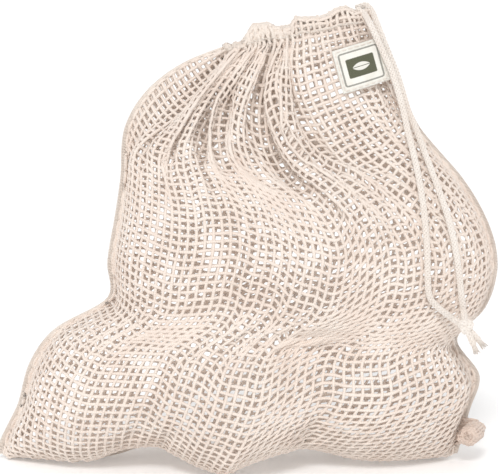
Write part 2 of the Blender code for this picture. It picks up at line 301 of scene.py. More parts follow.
def smooth_step(value):
    value = np.clip(value, 0, 1)
    return value * value * (3 - 2 * value)


def column_shares(gathered, height):
    """Where the columns stand along a slice: leaning a little below, bunched on the cord at the hem."""
    even = np.linspace(0, 1, COLUMNS)
    columns, places = np.array(GATHER).T
    bunched = np.interp(even, columns, places)
    heights, leans = np.array(LEAN).T * MM
    lean = np.interp(height, heights, leans) / (CELL * COLUMNS)
    return even + (bunched - even) * gathered + lean * np.sin(np.pi * even)


def mould_slice(side, left_z, right_z, gathered=0.0):
    """The panel's outer face cut by a plane through the two edges, left to right."""
    left_x = edge_x(LEFT, left_z)
    right_x = edge_x(RIGHT, right_z)
    share = 0.5 - 0.5 * np.cos(np.pi * np.linspace(0, 1, SLICE_POINTS))
    xs = left_x + (right_x - left_x) * share
    zs = left_z + (right_z - left_z) * share
    ys = []
    for x, z in zip(xs, zs):
        hit = PANEL_TREES[side].ray_cast(Vector((x, side * FAR, z)), Vector((0, -side, 0)))[0]
        ys.append(np.nan if hit is None or hit.y * side < 0 else hit.y)
    ys[0] = ys[-1] = side * SEAM_RADIUS
    shares = column_shares(gathered, (left_z + right_z) / 2)
    return at_shares(np.stack([xs, fill_gaps(ys), zs], axis=1), shares)


def underside_lift():
    """How far the net hangs clear of the floor, for each column: only the rounds themselves stand on it."""
    slices = [mould_slice(FRONT, height, height) for height in np.linspace(*LOW_ROUNDS, LOW_SLICES)]
    depth = -np.mean(slices, axis=0)[:, 1]
    padded = np.pad(depth, LIFT_REACH, mode="edge")
    crests = np.array([padded[column : column + 2 * LIFT_REACH + 1].max() for column in range(COLUMNS)])
    inside = np.sin(np.pi * np.linspace(0, 1, COLUMNS)) ** 2
    hollow = smooth_step((crests - depth) * LIFT_SHARE * inside / LIFT_MOST) * LIFT_MOST
    padded = np.pad(hollow, LIFT_BLUR // 2, mode="edge")
    return np.convolve(padded, np.ones(LIFT_BLUR) / LIFT_BLUR, mode="valid")


def mould(side):
    """The bag's outer face as a grid: the underside from the bottom seam, then slices up to the hem."""
    base = mould_slice(side, SEAM_RADIUS, SEAM_RADIUS)
    base[:, 2] = YARN_HALF_DEPTH
    seam = at_shares(BOTTOM_LINE, np.linspace(0, 1, COLUMNS)) + (0, side * SEAM_CORE, 0)
    slices = [seam + (base - seam) * step for step in np.linspace(0, 1, UNDERSIDE_SLICES)]
    for height in np.arange(3 * SEAM_RADIUS, BELLY_TOP, SLICE_SPACING):
        slices.append(mould_slice(side, height, height))
    steps = int((NECK_HIGH[RIGHT] - BELLY_TOP) / SLICE_SPACING)
    for step in range(1, steps + 1):
        part = step / steps
        left_z = BELLY_TOP + (NECK_HIGH[LEFT] - BELLY_TOP) * part
        right_z = BELLY_TOP + (NECK_HIGH[RIGHT] - BELLY_TOP) * part
        slices.append(mould_slice(side, left_z, right_z, float(smooth_step(part))))
    surface = deepened(np.array(slices), side)
    surface[:, :, 2] += LIFT * np.exp(-surface[:, :, 2] / LIFT_FADE)
    return surface


def blurred(values, width):
    """A Gaussian blur of a grid of numbers along both of its directions."""
    reach = int(3 * width)
    kernel = np.exp(-0.5 * (np.arange(-reach, reach + 1) / width) ** 2)
    kernel /= kernel.sum()
    for axis in (0, 1):
        margins = [(reach, reach) if axis == each else (0, 0) for each in (0, 1)]
        padded = np.pad(values, margins, mode="edge")
        values = np.apply_along_axis(lambda row: np.convolve(row, kernel, mode="valid"), axis, padded)
    return values


def deepened(surface, side):
    """Lets the net sink further in between the rounds than the frame's smooth shell does."""
    depth = side * surface[:, :, 1]
    hollow = np.minimum(depth - blurred(depth, HOLLOW_WIDTH), 0) * HOLLOW_DEPTH
    inside = smooth_step((depth - SEAM_RADIUS) / HOLLOW_FADE)
    result = surface.copy()
    result[:, :, 1] = side * (depth + hollow * inside)
    return result


def rows_of(surface):
    """The mould's columns cut into cells. The rows hang lower where the net has further to go."""
    steps = np.linalg.norm(np.diff(surface, axis=0), axis=2)
    length = np.concatenate([np.zeros((1, COLUMNS)), np.cumsum(steps, axis=0)])
    usual = length[-1, EDGE_COLUMNS:-EDGE_COLUMNS].mean()
    count = int(round(usual / CELL)) + 1
    share = np.linspace(0, 1, count)
    rows = np.empty((count, COLUMNS, 3))
    for column in range(COLUMNS):
        own = length[-1, column]
        wanted = own * share + (usual - own) * ROW_SAG * share * (1 - share)
        for axis in range(3):
            rows[:, column, axis] = np.interp(wanted, length[:, column], surface[:, column, axis])
    return rows


# ---------------- the cloth


def grid_quads(rows, columns, flip):
    number = np.arange(rows * columns).reshape(rows, columns)
    quads = np.stack([number[:-1, :-1], number[:-1, 1:], number[1:, 1:], number[1:, :-1]], axis=-1)
    quads = quads.reshape(-1, 4)
    return quads[:, ::-1] if flip else quads


def grid_normals(grid, side):
    """Outward normals of a panel's grid."""
    normals = np.cross(np.gradient(grid, axis=1), np.gradient(grid, axis=0))
    length = np.linalg.norm(normals, axis=2, keepdims=True)
    return -side * normals / np.maximum(length, 1e-12)


def shorten(points, a, b, rest, hold):
    """Moves the ends of one set of yarn lengths so that each length is its own again."""
    gap = points[b] - points[a]
    size = np.maximum(np.linalg.norm(gap, axis=-1, keepdims=True), 1e-9)
    off = (size - rest[..., None]) / size
    off = np.where(off < 0, off * PUSH, off)
    weight_a, weight_b = hold[a][..., None], hold[b][..., None]
    total = np.maximum(weight_a + weight_b, 1e-9)
    points[a] += gap * off * weight_a / total
    points[b] -= gap * off * weight_b / total


def length_sets(across, up):
    """The yarn lengths in four groups in which no two share a crossing."""
    rows = across.shape[0]
    sets = []
    for odd in (0, 1):
        low, high = np.s_[:, odd : COLUMNS - 1 : 2], np.s_[:, odd + 1 : COLUMNS : 2]
        sets.append((low, high, across[:, odd::2]))
        low, high = np.s_[odd : rows - 1 : 2, :], np.s_[odd + 1 : rows : 2, :]
        sets.append((low, high, up[odd::2, :]))
    return sets


def bend(points, free):
    """Takes sharp kinks out of the yarns, which are stiffer up the bag than across it."""
    kink = points[:-2] + points[2:] - 2 * points[1:-1]
    points[1:-1] += BEND_UP * free[1:-1] * kink
    kink = points[:, :-2] + points[:, 2:] - 2 * points[:, 1:-1]
    points[:, 1:-1] += BEND_ACROSS * free[:, 1:-1] * kink


def keep_inside(points, surface, side, hold):
    """Holds the net between the mould's face and the middle of the bag."""
    for row, column in zip(*np.nonzero(hold)):
        place = Vector(points[row, column])
        near, normal, _, _ = surface.find_nearest(place)
        if (place - near).dot(normal) > 0:
            points[row, column] = near
    depth = np.maximum(side * points[..., 1], SEAM_RADIUS)
    points[..., 1] = np.where(hold > 0, side * depth, points[..., 1])


def relax(home, side, start, across, up, hold, pull, steps):
    """Position-based cloth: yarn lengths, bending, weight, a pull to the mould and the mould as a limit."""
    corners = [Vector(point) for point in home.reshape(-1, 3)]
    surface = BVHTree.FromPolygons(corners, grid_quads(home.shape[0], COLUMNS, side == BACK).tolist())
    points = start.copy()
    sets = length_sets(across, up)
    free = hold[..., None]
    for _ in range(steps):
        points += free * pull[..., None] * (home - points)
        points[..., 2] -= hold * GRAVITY_STEP
        for _ in range(CLOTH_PASSES):
            for low, high, rest in sets:
                shorten(points, low, high, rest, hold)
            bend(points, free)
        keep_inside(points, surface, side, hold)
    return points


def wave(columns, phase, down):
    """0 on a fold's crest and 1 in its valley. Folds differ in size and wander as they run down."""
    count = int(COLUMNS / columns) + 3
    knots = np.linspace(0, COLUMNS - 1, count)
    pace = np.interp(np.arange(COLUMNS), knots, random.uniform(*FOLD_PACE, count))
    height = np.interp(np.arange(COLUMNS), knots, random.uniform(*FOLD_HEIGHT, count))
    wander = FOLD_WANDER * np.sin(down[:, None] * FOLD_TURNING + phase)
    place = np.cumsum(pace)[None, :] + wander
    return (0.5 - 0.5 * np.cos(2 * np.pi * place / columns + phase)) * height


LIFT = underside_lift()


def drape(side):
    """One panel's crossings after the cloth has settled, from the bottom seam to the hem's lower edge."""
    home = rows_of(mould(side))
    rows = len(home)
    spacing = np.linalg.norm(np.diff(home, axis=1), axis=2)
    rise = np.linalg.norm(np.diff(home, axis=0), axis=2)
    tightness = spacing.sum(axis=1) / (CELL * (COLUMNS - 1))
    loose = np.clip((1 - tightness - LOOSE_FROM) / LOOSE_OVER, 0, 1)
    middle = np.sin(np.pi * np.linspace(0, 1, COLUMNS)) ** 0.7
    slack = (SHOULDER_SLACK - 1) * (loose[1:] + loose[:-1]) / 2
    up = rise * (1 + slack[:, None] * middle[None, :])
    down = rows - 1.0 - np.arange(rows)
    at_hem = np.exp(-((down / PLEAT_FADE) ** 2))[:, None]
    step = np.minimum(np.pad(spacing, ((0, 0), (0, 1)), mode="edge"), CELL)
    spare = np.sqrt(np.maximum(CELL**2 - step**2, 0))
    across = spacing + np.maximum(CELL - spacing, 0) * (1 - CRUMPLED * at_hem)
    pleats = np.minimum(spare * PLEAT_COLUMNS / 2, PLEAT_DEPTH)
    sink = pleats * wave(PLEAT_COLUMNS, PLEAT_PHASE + side, down) * at_hem
    folds = spare * FOLD_COLUMNS / 2 * FOLD_DEPTH * wave(FOLD_COLUMNS, FOLD_PHASE + side, down)
    sink += folds * (1 - at_hem) * loose[:, None]
    sink += NET_CRUMPLE * np.abs(random.standard_normal(sink.shape)) * loose[:, None]
    room = np.maximum(side * home[..., 1] - 2 * SEAM_RADIUS, 0)
    start = home - grid_normals(home, side) * np.minimum(sink, room)[..., None]
    hold = np.ones((rows, COLUMNS))
    hold[:, (0, -1)] = 0
    hold[(0, -1), :] = 0
    pull = np.repeat(MOULD_PULL * (1 - loose)[:, None] ** 3, COLUMNS, axis=1)
    steps = LOOSE_STEPS
    return relax(home, side, start, across, up, hold, pull, steps)


def hem_tops(points):
    """Heights of the hem's upper edge over its lower edge, beside the given points."""
    share = np.clip((points - HEM_ENDS[LEFT]) @ HEM_ALONG / (HEM_ALONG @ HEM_ALONG), 0, 1)
    places, tops = np.array(HEM_PROFILE).T
    return np.interp(share, places, tops) * MM


def with_hem(grid, side):
    """Carries the net on up over the cord and down again inside, as the hem."""
    last = grid[-1]
    gathered = smoothed(last, HEM_EVENING)
    top = hem_tops(gathered)
    inward = np.minimum(HEM_FOLD_DEPTH, np.abs(gathered[:, 1]) * HEM_FOLD_MOST)
    back = np.outer(inward, (0, side, 0))
    rows = []
    for step in range(1, HEM_ROWS + 1):
        rise = step / HEM_ROWS
        crumple = HEM_CRUMPLE * random.standard_normal(last.shape)
        foot = last + (gathered - last) * smooth_step(rise) + crumple
        rows.append(foot + np.outer(top * (rise - HEM_DROP), HEM_UP))
    rows.append(gathered + np.outer(top * HEM_CREST, HEM_UP) - back * 0.5)
    for step in range(HEM_ROWS, -1, -1):
        rows.append(gathered + np.outer(top * (step / HEM_ROWS) * HEM_INSIDE, HEM_UP) - back)
    return np.concatenate([grid, np.array(rows)])


# ---------------- yarns and cords as geometry


def unit(vectors):
    return vectors / np.maximum(np.linalg.norm(vectors, axis=-1, keepdims=True), 1e-12)


def through(lines, samples):
    """Smooth lines through points, with the given samples per step. lines is [line, place, xyz]."""
    count = lines.shape[1]
    before_first = 2 * lines[:, :1] - lines[:, 1:2]
    after_last = 2 * lines[:, -1:] - lines[:, -2:-1]
    padded = np.concatenate([before_first, lines, after_last], axis=1)
    place = np.arange((count - 1) * samples + 1) / samples
    low = np.minimum(place.astype(int), count - 2)
    t = (place - low)[None, :, None]
    before, here, there, after = (padded[:, low + step] for step in range(4))
    linear = there - before
    square = 2 * before - 5 * here + 4 * there - after
    cube = 3 * here - before - 3 * there + after
    return here + 0.5 * t * (linear + t * (square + t * cube))


def tubes(lines, normals, half_width, half_depth, sides=YARN_SIDES):
    """Flattened round yarns along many lines: points, quads, a uv per corner, each quad's middle."""
    tangent = unit(np.gradient(lines, axis=1))
    across = unit(np.cross(tangent, normals))
    outward = np.cross(across, tangent)
    angle = 2 * np.pi * np.arange(sides) / sides
    wide = np.broadcast_to(half_width, lines.shape[:2])[:, :, None, None]
    deep = np.broadcast_to(half_depth, lines.shape[:2])[:, :, None, None]
    ring = across[:, :, None, :] * np.cos(angle)[None, None, :, None] * wide
    ring = ring + outward[:, :, None, :] * np.sin(angle)[None, None, :, None] * deep
    points = lines[:, :, None, :] + ring
    count, length = lines.shape[:2]
    number = np.arange(count * length * sides).reshape(count, length, sides)
    following = np.roll(number, -1, axis=2)
    quads = np.stack([number[:, :-1], following[:, :-1], following[:, 1:], number[:, 1:]], axis=-1)
    steps = np.linalg.norm(np.diff(lines, axis=1), axis=2)
    run = np.concatenate([np.zeros((count, 1)), np.cumsum(steps, axis=1)], axis=1)
    u = np.broadcast_to(run[:, :, None], (count, length, sides))
    v = np.broadcast_to(np.arange(sides) / sides, (count, length - 1, sides))
    corner_u = np.stack([u[:, :-1], u[:, :-1], u[:, 1:], u[:, 1:]], axis=-1)
    corner_v = np.stack([v, v + 1 / sides, v + 1 / sides, v], axis=-1)
    middle = (lines[:, :-1] + lines[:, 1:]) / 2
    middle = np.broadcast_to(middle[:, :, None, :], (count, length - 1, sides, 3))
    return {
        "points": points.reshape(-1, 3),
        "quads": quads.reshape(-1, 4),
        "uv": np.stack([corner_u.reshape(-1, 4), corner_v.reshape(-1, 4)], axis=-1),
        "middle": middle.reshape(-1, 3),
    }


def joined(shapes):
    """Several shapes as one."""
    firsts = np.cumsum([0] + [len(shape["points"]) for shape in shapes])
    result = {key: np.concatenate([shape[key] for shape in shapes]) for key in ("points", "uv", "middle")}
    result["quads"] = np.concatenate([shape["quads"] + first for shape, first in zip(shapes, firsts)])
    return result


def chosen(shape, mask):
    """The part of a shape whose quads are marked."""
    used, renumbered = np.unique(shape["quads"][mask], return_inverse=True)
    return {
        "points": shape["points"][used],
        "quads": renumbered.reshape(-1, 4),
        "uv": shape["uv"][mask],
        "middle": shape["middle"][mask],
    }


def add_piece(name, shape, look, node):
    """Makes a mesh object that stands for a node of the frame. A look is a material and its slot's name; the
    slot's name is not used.
    """
    material, slot = look
    data = bpy.data.meshes.new(name)
    quads = shape["quads"].astype(np.int32)
    data.vertices.add(len(shape["points"]))
    data.vertices.foreach_set("co", shape["points"].astype(np.float32).ravel())
    data.loops.add(quads.size)
    data.loops.foreach_set("vertex_index", quads.ravel())
    data.polygons.add(len(quads))
    data.polygons.foreach_set("loop_start", np.arange(0, quads.size, 4, dtype=np.int32))
    data.polygons.foreach_set("use_smooth", np.ones(len(quads), dtype=bool))
    layer = data.uv_layers.new(name="Run")
    layer.data.foreach_set("uv", shape["uv"].astype(np.float32).ravel())
    data.update(calc_edges=True)
    data.materials.append(material)
    piece = bpy.data.objects.new(name, data)
    bpy.context.scene.collection.objects.link(piece)
    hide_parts(node)
    return piece


def uneven(count, length, amount):
    """A slowly varying thickness along yarns, as shares around 1."""
    rough = random.standard_normal((count, length // 3 + 3))
    place = np.linspace(0, rough.shape[1] - 1, length)
    rows = [np.interp(place, np.arange(rough.shape[1]), row) for row in rough]
    return 1 + amount * np.clip(np.array(rows), -2, 2)


def yarn_widths(count, length):
    """Half widths of the net's yarns: wider where another yarn crosses, and a little uneven."""
    at_crossing = 0.5 + 0.5 * np.cos(2 * np.pi * np.arange(length) / SAMPLES_PER_CELL)
    swell = 1 + KNOT_SWELL * at_crossing
    return YARN_HALF_WIDTH * swell[None, :] * uneven(count, length, YARN_UNEVENNESS)


def net_shape(grid, normals):
    """Every yarn of a grid of crossings, up and across, passing over and under each other."""
    rows, columns = grid.shape[:2]
    parity = (-1.0) ** (np.arange(rows)[:, None] + np.arange(columns)[None, :])
    lift = normals * (parity * WEAVE_LIFT)[..., None]
    sunk = grid - normals * (YARN_HALF_DEPTH + WEAVE_LIFT)
    upright = ((sunk + lift).transpose(1, 0, 2), normals.transpose(1, 0, 2))
    level = (sunk - lift, normals)
    made = []
    for lines, outward in (upright, level):
        lines = through(lines, SAMPLES_PER_CELL)
        outward = unit(through(outward, SAMPLES_PER_CELL))
        widths = yarn_widths(*lines.shape[:2])
        made.append(tubes(lines, outward, widths, widths * (YARN_HALF_DEPTH / YARN_HALF_WIDTH)))
    return joined(made)


def line_length(line):
    return float(np.linalg.norm(np.diff(line, axis=0), axis=1).sum())


def overlock(line, outward, reach):
    """An overlocked edge: a core with two threads wound round it, their loops reaching onto the net."""
    turns = int(line_length(line) / SEAM_STITCH)
    dense = at_shares(line, np.linspace(0, 1, turns * SEAM_SAMPLES + 1))
    side_on = unit(np.cross(np.gradient(dense, axis=0), outward))
    coarse = dense[None, :: SEAM_SAMPLES // 2]
    shapes = [tubes(coarse, np.broadcast_to(outward, coarse.shape), SEAM_CORE, SEAM_CORE * 1.3, 8)]
    for start in (0, np.pi):
        angle = np.linspace(0, 2 * np.pi * turns, len(dense)) + start
        wide = np.cos(angle)[:, None] * outward * (reach + SEAM_THREAD)
        deep = np.sin(angle)[:, None] * side_on * (SEAM_CORE + SEAM_THREAD)
        wound = dense + wide + deep
        shapes.append(tubes(wound[None], unit(wide + deep)[None], SEAM_THREAD * 1.25, SEAM_THREAD, 5))
    return joined(shapes)


def braid(line, outward, half_width, half_depth):
    """A soft braided cord: yarns wound both ways round a core, over and under each other."""
    turns = max(line_length(line) / BRAID_PITCH, 0.5)
    shares = np.linspace(0, 1, int(turns * BRAID_SAMPLES) + 4)
    dense = at_shares(line, shares)
    tangent = unit(np.gradient(dense, axis=0))
    across = unit(np.cross(tangent, outward))
    face = np.cross(across, tangent)
    yarn = half_depth * BRAID_YARN
    wide, deep = half_width - yarn, half_depth - yarn
    core = tubes(dense[None], face[None], wide * BRAID_CORE, deep * BRAID_CORE, 10)
    lines = []
    for number in range(BRAID_YARNS):
        way = 1 if number % 2 else -1
        start = 4 * np.pi * (number // 2) / BRAID_YARNS
        angle = start + way * 2 * np.pi * turns * shares
        over = 1 + way * BRAID_LIFT * np.cos(BRAID_YARNS / 2 * angle)
        sideways = across * (np.cos(angle) * wide * over)[:, None]
        lines.append(dense + sideways + face * (np.sin(angle) * deep * over)[:, None])
    lines = np.array(lines)
    return joined([core, tubes(lines, unit(lines - dense[None]), yarn * 1.5, yarn, 6)])


def stitches(line, outward):
    """A row of sewn stitches along a line: short threads that dip into the cloth between them."""
    length = line_length(line)
    count = max(int(length / (STITCH_LENGTH + STITCH_GAP)), 2)
    arch = np.array(STITCH_ARCH) * STITCH_RADIUS
    places = np.linspace(0, 1, len(outward))
    lines, faces = [], []
    for number in range(count):
        start = (number + 0.5 * STITCH_GAP / (STITCH_LENGTH + STITCH_GAP)) / count
        shares = start + np.linspace(0, 1, len(arch)) * STITCH_LENGTH / length
        face = unit(np.stack([np.interp(shares, places, outward[:, axis]) for axis in range(3)], axis=1))
        lines.append(at_shares(line, shares) + face * arch[:, None])
        faces.append(face)
    return tubes(np.array(lines), np.array(faces), STITCH_RADIUS * 1.2, STITCH_RADIUS, 6)


# ---------------- materials


class Nodes:
    """Short hand for building a material's nodes."""

    def __init__(self, name):
        self.material = bpy.data.materials.new(name)
        self.material.use_nodes = True
        self.tree = self.material.node_tree
        self.shader = self.tree.nodes["Principled BSDF"]

    def give(self, socket, value):
        if isinstance(value, bpy.types.NodeSocket):
            self.tree.links.new(value, socket)
        else:
            socket.default_value = value

    def look(self, values):
        for key, value in values.items():
            self.give(self.shader.inputs[key], value)

    def place(self):
        return self.add("ShaderNodeTexCoord").outputs["Object"]

    def run(self):
        """How far along and how far round a yarn, or across and up the label."""
        uv = self.add("ShaderNodeUVMap", uv_map="Run").outputs["UV"]
        split = self.add("ShaderNodeSeparateXYZ", {"Vector": uv})
        return split.outputs["X"], split.outputs["Y"]

    def add(self, kind, inputs=None, **settings):
        node = self.tree.nodes.new(kind)
        for key, value in settings.items():
            setattr(node, key, value)
        for key, value in (inputs or {}).items():
            self.give(node.inputs[key], value)
        return node

    def noise(self, vector, scale, detail=3.0, rough=0.55):
        inputs = {"Vector": vector, "Scale": scale, "Detail": detail, "Roughness": rough}
        return self.add("ShaderNodeTexNoise", inputs).outputs["Fac"]

    def math(self, operation, first, second=0.0):
        node = self.add("ShaderNodeMath", operation=operation)
        self.give(node.inputs[0], first)
        self.give(node.inputs[1], second)
        return node.outputs[0]

    def times(self, first, second):
        return self.math("MULTIPLY", first, second)

    def plus(self, first, second):
        return self.math("ADD", first, second)

    def less(self, first, second):
        return self.math("SUBTRACT", first, second)

    def mix(self, share, first, second):
        node = self.add("ShaderNodeMix", data_type="RGBA")
        self.give(node.inputs[0], share)
        self.give(node.inputs[6], first)
        self.give(node.inputs[7], second)
        return node.outputs[2]

    def band(self, value, low, high):
        """0 at low, 1 at high, smooth between."""
        node = self.add("ShaderNodeMapRange", interpolation_type="SMOOTHSTEP")
        self.give(node.inputs["Value"], value)
        self.give(node.inputs["From Min"], low)
        self.give(node.inputs["From Max"], high)
        return node.outputs["Result"]

    def finish(self, colour, rough, height, distance, strength=0.6):
        bump = self.add("ShaderNodeBump", {"Height": height, "Distance": distance, "Strength": strength})
        self.look({"Base Color": colour, "Roughness": rough, "Normal": bump.outputs["Normal"]})
        self.look({"Sheen Weight": 0.3, "Sheen Roughness": 0.5, "Specular IOR Level": 0.2})
        return self.material


FLECK = (0.80, 0.62, 0.44)
FIBRE_SCALE = 5200
PATCH_SCALE = 45
MOTTLE_SCALE = 420
FLECK_SCALE = 900


def yarn_material(name, light, dark, ply):
    """Spun cotton: plies twisted along the yarn with painted shade in the grooves between them, loose
    fibres, patchy natural colour, a few seed flecks.
    """
    nodes = Nodes(name)
    place = nodes.place()
    along, around = nodes.run()
    turn = nodes.plus(nodes.math("DIVIDE", along, ply), nodes.times(around, 2))
    plies = nodes.math("ABSOLUTE", nodes.math("SINE", nodes.times(turn, math.pi)))
    fibres = nodes.noise(place, FIBRE_SCALE, 2.0, 0.7)
    patches = nodes.noise(place, PATCH_SCALE, 4.0)
    mottle = nodes.noise(place, MOTTLE_SCALE, 3.0)
    colour = nodes.mix(nodes.band(patches, 0.35, 0.65), (*dark, 1), (*light, 1))
    colour = nodes.mix(nodes.times(nodes.band(mottle, 0.6, 0.3), 0.35), colour, (*dark, 1))
    # painted shade: the grooves between the plies are darkened
    ply_groove_shade = nodes.times(nodes.band(plies, 0.4, 0.0), 0.4)
    colour = nodes.mix(ply_groove_shade, colour, (*[part * 0.72 for part in dark], 1))
    flecks = nodes.times(nodes.band(nodes.noise(place, FLECK_SCALE, 1.0), 0.74, 0.79), 0.5)
    colour = nodes.mix(flecks, colour, (*FLECK, 1))
    height = nodes.plus(plies, nodes.times(fibres, 0.7))
    rough = nodes.plus(0.8, nodes.times(fibres, 0.18))
    return nodes.finish(colour, rough, height, 0.22 * MM, 0.7), name


NET_COTTON = yarn_material("net_cotton", (0.90, 0.80, 0.72), (0.85, 0.73, 0.645), 1.1 * MM)
HEM_COTTON = yarn_material("hem_cotton", (0.90, 0.81, 0.73), (0.85, 0.74, 0.655), 1.1 * MM)
# The rolled corner's cotton is the net's cotton made darker: painted shade of the dense roll.
ROLL_SHADE_LOOK = yarn_material("rolled_cotton_painted_shade", (0.80, 0.67, 0.585), (0.72, 0.575, 0.49), 1.1 * MM)
SHADED_ROLL_COTTON = (ROLL_SHADE_LOOK[0], "net_cotton")  # paired with the net's slot name, which add_piece does not use
SEAM_LOOK = yarn_material("seam_thread", (0.89, 0.80, 0.72), (0.84, 0.735, 0.65), 0.7 * MM)
CORD_COTTON = yarn_material("cord_cotton", (0.90, 0.84, 0.78), (0.86, 0.78, 0.71), 1.3 * MM)
STITCH_LOOK = yarn_material("stitch_thread", (0.91, 0.84, 0.77), (0.84, 0.76, 0.68), 0.6 * MM)

LABEL_OLIVE = (0.060, 0.066, 0.026)
LABEL_GREY = (0.13, 0.13, 0.11)
LABEL_WHITE = (0.90, 0.88, 0.82)
LABEL_CREAM = (0.84, 0.81, 0.74)
LABEL_GAP_SHADE = (0.62, 0.57, 0.48)  # painted shade between its threads
LABEL_BORDER = (0.40, 0.37, 0.05)  # half width, half height and corner, as shares of the label
LABEL_PANEL = (0.29, 0.22, 0.03)
LABEL_WARPS = 64
LABEL_WEFTS = 60
LEAF_BOW = 0.15
LEAF_RADIUS = 0.24


def box_distance(nodes, x, y, half_width, half_height, corner):
    """Distance outside a rounded rectangle on the label."""
    side = nodes.math("MAXIMUM", nodes.less(nodes.math("ABSOLUTE", x), half_width - corner))
    tall = nodes.math("MAXIMUM", nodes.less(nodes.math("ABSOLUTE", y), half_height - corner))
    square = nodes.plus(nodes.times(side, side), nodes.times(tall, tall))
    return nodes.less(nodes.math("SQRT", square), corner)


def disc_distance(nodes, x, y, centre_y, radius):
    up = nodes.less(y, centre_y)
    square = nodes.plus(nodes.times(x, x), nodes.times(up, up))
    return nodes.less(nodes.math("SQRT", square), radius)


def label_material():
    """Off-white cloth with a printed border, a dark rounded panel and a plain leaf on it."""
    nodes = Nodes("label_cloth")
    place = nodes.place()
    across, up = nodes.run()
    x = nodes.less(across, 0.5)
    y = nodes.less(up, 0.5)
    worn = nodes.times(nodes.less(nodes.noise(place, 2600, 2.0), 0.5), 0.02)
    border_line = nodes.plus(box_distance(nodes, x, y, *LABEL_BORDER), worn)
    border_line = nodes.math("ABSOLUTE", border_line)
    border = nodes.band(border_line, 0.024, 0.012)
    panel = nodes.band(nodes.plus(box_distance(nodes, x, y, *LABEL_PANEL), worn), 0.006, -0.006)
    under = disc_distance(nodes, x, y, -LEAF_BOW, LEAF_RADIUS)
    over = disc_distance(nodes, x, y, LEAF_BOW, LEAF_RADIUS)
    lens = nodes.math("MAXIMUM", under, over)
    rib = nodes.band(nodes.math("ABSOLUTE", y), 0.005, 0.010)
    leaf = nodes.times(nodes.band(lens, 0.004, -0.006), rib)
    warp = nodes.math("SINE", nodes.times(across, 2 * math.pi * LABEL_WARPS))
    weft = nodes.math("SINE", nodes.times(up, 2 * math.pi * LABEL_WEFTS))
    weave = nodes.times(warp, weft)
    patches = nodes.noise(place, 160, 3.0)
    colour = nodes.mix(nodes.band(patches, 0.3, 0.7), (*LABEL_CREAM, 1), (*LABEL_WHITE, 1))
    colour = nodes.mix(nodes.times(border, 0.75), colour, (*LABEL_GREY, 1))
    colour = nodes.mix(nodes.times(panel, 0.95), colour, (*LABEL_OLIVE, 1))
    colour = nodes.mix(nodes.times(leaf, 0.9), colour, (*LABEL_WHITE, 1))
    # painted shade in the gaps between the label's threads
    thin = nodes.times(nodes.band(weave, -0.2, -0.9), 0.18)
    colour = nodes.mix(thin, colour, (*LABEL_GAP_SHADE, 1))
    fibres = nodes.noise(place, 4000, 2.0)
    height = nodes.plus(weave, nodes.times(fibres, 0.6))
    rough = nodes.plus(0.78, nodes.times(fibres, 0.18))
    return nodes.finish(colour, rough, height, 0.08 * MM), "label_cloth"


# ---------------- the mouth's reach, and pieces baked in place

LIP_REACH = abs(HEM_LINES[FRONT][len(HEM_LINES[FRONT]) // 2][1])


def on_mouth(piece):
    """Bakes a piece's transform into its mesh; nothing bends it between the neck and its lip."""
    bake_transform(piece)


def on_shoulder(piece):
    """Bakes a piece's transform into its mesh; nothing bends it between the standing body and the neck."""
    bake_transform(piece)


# ---------------- the pieces


def build_net(side, word):
    """One panel's net in four pieces: belly, shoulder, neck and hem. Returns the hem's first row."""
    draped = drape(side)
    grid = with_hem(draped, side)
    normals = grid_normals(grid, side)
    shape = net_shape(grid, normals)
    middle = shape["middle"]
    belly = middle[:, 2] < BELLY_TOP
    hem = ~belly & (hem_height(middle) > hem_height(draped[-1]).mean() + 0.5 * MM)
    neck = ~belly & ~hem & (middle[:, 2] > neck_line(middle[:, 0]))
    shoulder = ~belly & ~hem & ~neck

    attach(add_piece(f"{word}_belly_net", chosen(shape, belly), NET_COTTON, f"{word}_net_panel"), "bag_body")

    piece = add_piece(f"{word}_shoulder_mesh", chosen(shape, shoulder), NET_COTTON, f"{word}_shoulder_net")
    on_shoulder(piece)

    piece = add_piece(f"{word}_neck_mesh", chosen(shape, neck), NET_COTTON, f"{word}_neck_net")
    on_mouth(piece)

    piece = add_piece(f"{word}_hem", chosen(shape, hem), HEM_COTTON, f"{word}_casing")
    on_mouth(piece)
    return grid[len(draped)], normals[len(draped)]


def build_hem_stitching(word, row, normals):
    shape = stitches(row + normals * STITCH_RADIUS, normals)
    piece = add_piece(f"{word}_hem_stitches", shape, STITCH_LOOK, f"{word}_casing_stitching")
    on_mouth(piece)


def build_hidden_cord(side, word, row):
    """The cord inside the hem, behind the outer pleats and halfway up them."""
    line = HEM_LINES[side]
    depth = np.minimum(np.abs(line[:, 1]) / LIP_REACH, 1) * HEM_FOLD_DEPTH
    line = line - np.outer(depth, (0, side, 0))
    halfway = hem_height(row).mean() + hem_tops(line) / 2
    line = line + np.outer(np.minimum(halfway - hem_height(line), 0), HEM_UP)
    shape = braid(line, np.array((0.0, side, 0.0)), CORD_HALF_WIDTH, CORD_HALF_DEPTH)
    piece = add_piece(f"{word}_drawcord", shape, CORD_COTTON, f"{word}_cord_run")
    on_mouth(piece)


def build_side_seam(end, word):
    """The overlocked edge in three pieces, like the net beside it."""
    line = SEAM_LINES[end] - (end * SEAM_CORE, 0, 0)
    shape = overlock(line, np.array((end, 0.0, 0.0)), PANEL_EDGE - SEAM_CORE)
    height = shape["middle"][:, 2]
    zones = (
        ("side", height < BELLY_TOP),
        ("shoulder", (height >= BELLY_TOP) & (height < NECK_LOW[end])),
        ("neck", height >= NECK_LOW[end]),
    )
    for zone, mask in zones:
        piece = add_piece(f"{word}_{zone}_overlock", chosen(shape, mask), SEAM_LOOK, f"{word}_{zone}_seam")
        if zone == "side":
            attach(piece, "bag_body")
        elif zone == "shoulder":
            on_shoulder(piece)
        else:
            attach(piece, "neck")


